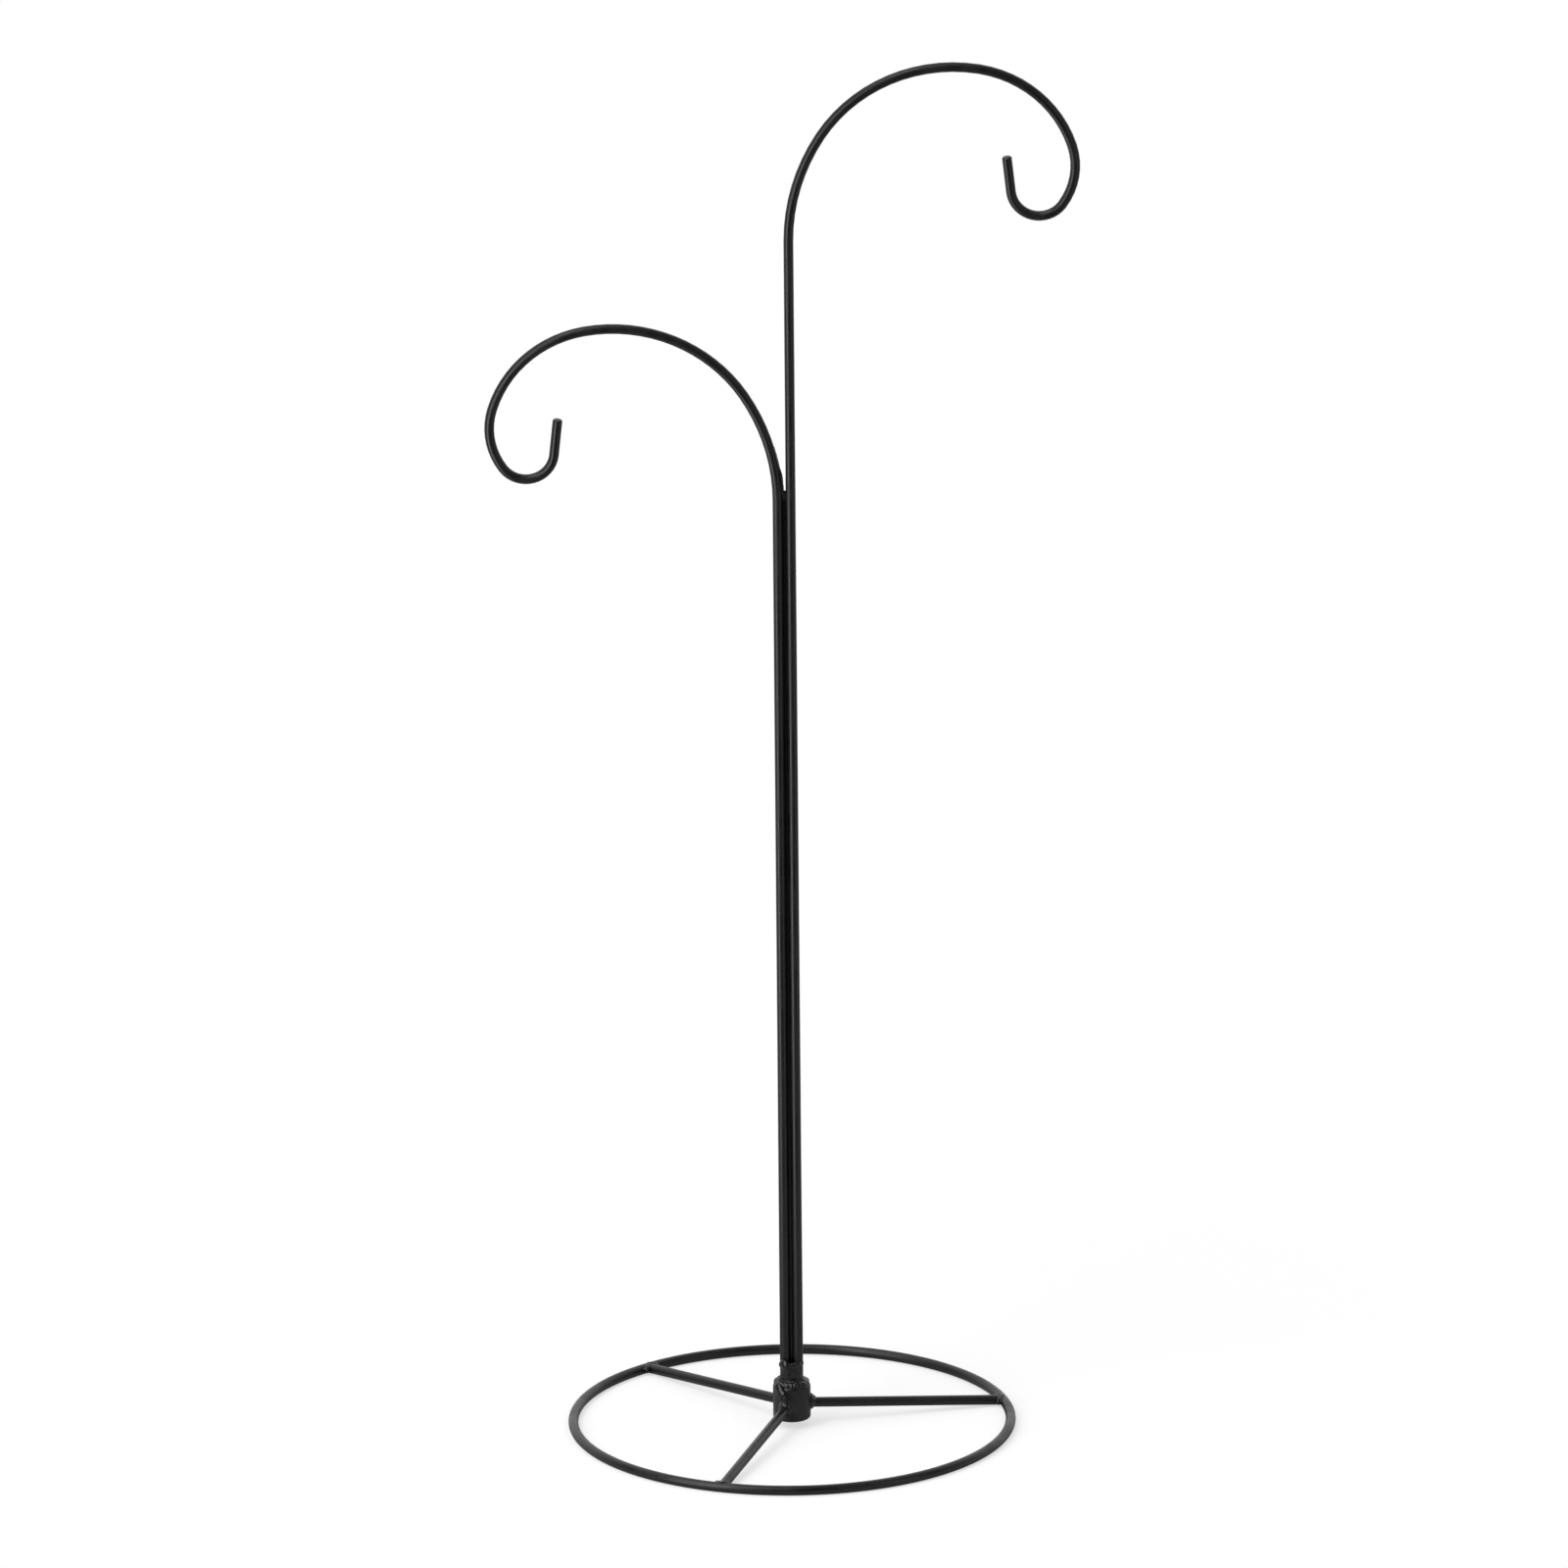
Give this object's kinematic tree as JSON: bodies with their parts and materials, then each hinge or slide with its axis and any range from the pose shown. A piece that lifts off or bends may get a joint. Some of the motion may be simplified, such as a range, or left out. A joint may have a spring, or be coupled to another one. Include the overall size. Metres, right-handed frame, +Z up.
{
  "type": "hanging plant stand",
  "caption": "Free-standing hanging plant stand: curled rod hooks at different heights on a bundled rod stem, welded to a hub collar, sloping spokes and a round rod base ring.",
  "frame": {"origin": "on the floor, at the centre of the base ring", "axes": "+Z up along the stem; +X towards the tall hook, -X towards the short hook; +Y to the rear, where the back rod of the stem is"},
  "size_m": [0.3804, 0.2844, 0.9145],
  "materials": {
    "rod_coat": "satin black powder coat",
    "weld_coat": "black powder coat pooled over weld beads, glossier than the rods"
  },
  "bodies": {
    "root": {"tall_hook_rod": "rod_coat", "short_hook_rod": "rod_coat", "back_rod": "rod_coat", "hub_collar": "rod_coat", "base_ring": "rod_coat", "rear_right_spoke": "rod_coat", "rear_left_spoke": "rod_coat", "front_spoke": "rod_coat", "fork_weld": "weld_coat", "neck_weld": "weld_coat", "stem_tack_welds": "weld_coat", "spoke_hub_welds": "weld_coat", "spoke_ring_welds": "weld_coat"}
  },
  "joints": []
}
